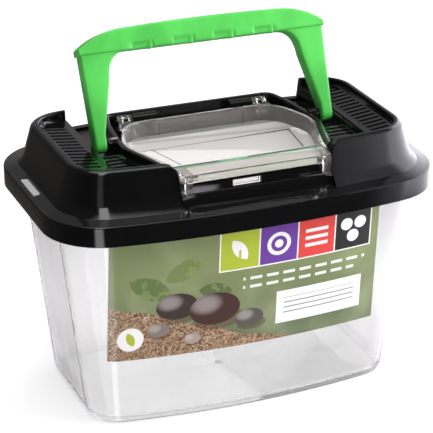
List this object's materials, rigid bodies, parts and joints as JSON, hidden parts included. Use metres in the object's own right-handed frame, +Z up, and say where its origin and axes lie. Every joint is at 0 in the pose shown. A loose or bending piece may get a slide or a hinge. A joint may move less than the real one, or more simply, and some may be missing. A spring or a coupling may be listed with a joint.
{
  "type": "pet keeper",
  "caption": "Small clear tank with a vented lid that clips on, a hinged clear feeding hatch and a fold-down carrying handle.",
  "frame": {"origin": "under the middle of the tank, on the surface it stands on", "axes": "+X to the right along the width, +Y to the back, +Z up"},
  "size_m": [0.2, 0.1302, 0.184],
  "materials": {
    "clear_tank": "clear polished moulding",
    "label_print": "printed sheet",
    "lid_plastic": "gloss black moulding",
    "clear_hatch": "clear polished moulding",
    "handle_plastic": "semi-gloss green moulding"
  },
  "bodies": {
    "tank": {"tank": "clear_tank", "front_label": "label_print"},
    "lid": {"lid": "lid_plastic"},
    "hatch": {"hatch": "clear_hatch"},
    "handle": {"handle": "handle_plastic"}
  },
  "joints": [
    {"name": "lid_lift", "type": "slide", "parent": "tank", "child": "lid", "axis": [0, 0, 1], "range_m": [0, 0.05]},
    {"name": "hatch_hinge", "type": "hinge", "parent": "lid", "child": "hatch", "pos_m": [0, 0.0335, 0.1277], "axis": [-1, 0, 0], "range_deg": [0, 55]},
    {"name": "handle_pivot", "type": "hinge", "parent": "lid", "child": "handle", "pos_m": [0, 0.003, 0.13], "axis": [-1, 0, 0], "range_deg": [-99, 66]}
  ]
}
